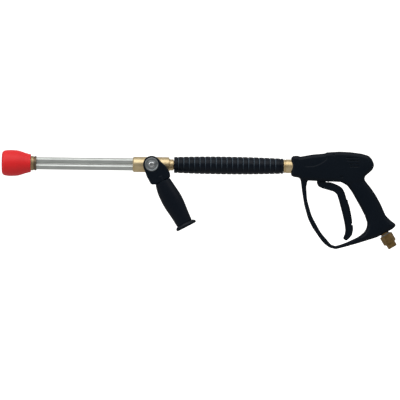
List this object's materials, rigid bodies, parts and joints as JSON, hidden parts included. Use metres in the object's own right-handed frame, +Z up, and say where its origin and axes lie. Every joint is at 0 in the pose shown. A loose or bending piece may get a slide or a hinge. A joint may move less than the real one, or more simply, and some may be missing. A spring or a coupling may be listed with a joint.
{
  "type": "high-pressure washer trigger gun",
  "caption": "Trigger gun with a ribbed lance grip, turning side handle, twin lance tubes, rubber nozzle guard and swivel hose inlet.",
  "frame": {"origin": "centre of the mouth of the hose inlet thread, at the bottom of the gun's grip", "axes": "+X along the lance from the nozzle towards the gun, +Z up, Y across the gun with the side handle at -Y"},
  "size_m": [0.8506, 0.086, 0.2098],
  "materials": {
    "black_nylon": "moulded glass-filled nylon, fine grain",
    "black_grip": "moulded polypropylene, satin",
    "red_rubber": "moulded rubber, satin",
    "brass": "turned and milled, bright",
    "steel": "drawn tube, brushed",
    "zinc_steel": "zinc plated",
    "seal_rubber": "moulded nitrile rubber"
  },
  "bodies": {
    "gun": {"housing_left": "black_nylon", "housing_right": "black_nylon", "housing_screws": "zinc_steel", "trigger_pin": "zinc_steel", "valve_body": "brass", "valve_seat": "steel", "valve_spring": "steel", "valve_plug": "brass", "plug_seal": "seal_rubber", "pin_gland": "brass", "pin_seals": "seal_rubber", "outlet_collar": "brass", "outlet_seal": "seal_rubber", "inlet_tube": "steel", "inlet_nipple": "brass", "inlet_washer": "zinc_steel", "swivel_seal": "seal_rubber", "swivel_clip": "steel", "lance_pipe": "steel", "lance_grip": "black_grip", "grip_bush_front": "black_nylon", "grip_bush_rear": "black_nylon", "manifold_nipple": "brass", "nipple_seal": "seal_rubber", "manifold_body": "brass", "needle_seat": "steel", "manifold_gland": "brass", "tube_upper": "steel", "tube_lower": "steel", "tube_seals": "seal_rubber", "nozzle_holder": "brass", "high_pressure_nozzle": "brass", "low_pressure_nozzle": "brass"},
    "trigger": {"trigger": "black_nylon", "latch_pin": "zinc_steel"},
    "latch": {"safety_latch": "black_nylon"},
    "plunger": {"valve_ball": "steel", "push_pin": "steel"},
    "side_handle": {"handle_hub": "black_nylon", "handle_grip": "black_grip", "handle_end_cap": "black_nylon", "handle_washer": "zinc_steel", "handle_screw": "zinc_steel", "handle_spindle": "steel", "spindle_seal": "seal_rubber"},
    "needle": {"bypass_needle": "steel"},
    "swivel": {"inlet_swivel": "brass"},
    "guard": {"nozzle_guard": "red_rubber"}
  },
  "joints": [
    {"name": "trigger_pull", "type": "hinge", "parent": "gun", "child": "trigger", "pos_m": [-0.15672, 0, 0.14543], "axis": [0, -1, 0], "range_deg": [0, 11], "stiffness_Nm_per_rad": 4, "springref_deg": -17.19},
    {"name": "valve_lift", "type": "slide", "parent": "gun", "child": "plunger", "axis": [0, 0, 1], "range_m": [0, 0.0032], "deforming": ["valve_spring"]},
    {"name": "latch_swing", "type": "hinge", "parent": "trigger", "child": "latch", "pos_m": [-0.10152, 0, 0.09793], "axis": [0, 1, 0], "range_deg": [-35, 0]},
    {"name": "handle_turn", "type": "hinge", "parent": "gun", "child": "side_handle", "pos_m": [-0.52012, 0, 0.17143], "axis": [0, 1, 0], "range_deg": [0, 118]},
    {"name": "needle_screw", "type": "slide", "parent": "gun", "child": "needle", "axis": [0, -1, 0], "range_m": [0, 0.002]},
    {"name": "inlet_spin", "type": "hinge", "parent": "gun", "child": "swivel", "pos_m": [0, 0, 0], "axis": [0.515, 0, -0.8572], "continuous": true},
    {"name": "guard_pull", "type": "slide", "parent": "gun", "child": "guard", "axis": [-1, 0, 0], "range_m": [0, 0.07]}
  ],
  "couplings": [
    {"joint": "valve_lift", "follows": "trigger_pull", "m_per_rad": 0.0157},
    {"joint": "needle_screw", "follows": "handle_turn", "m_per_rad": 0.00095493}
  ]
}
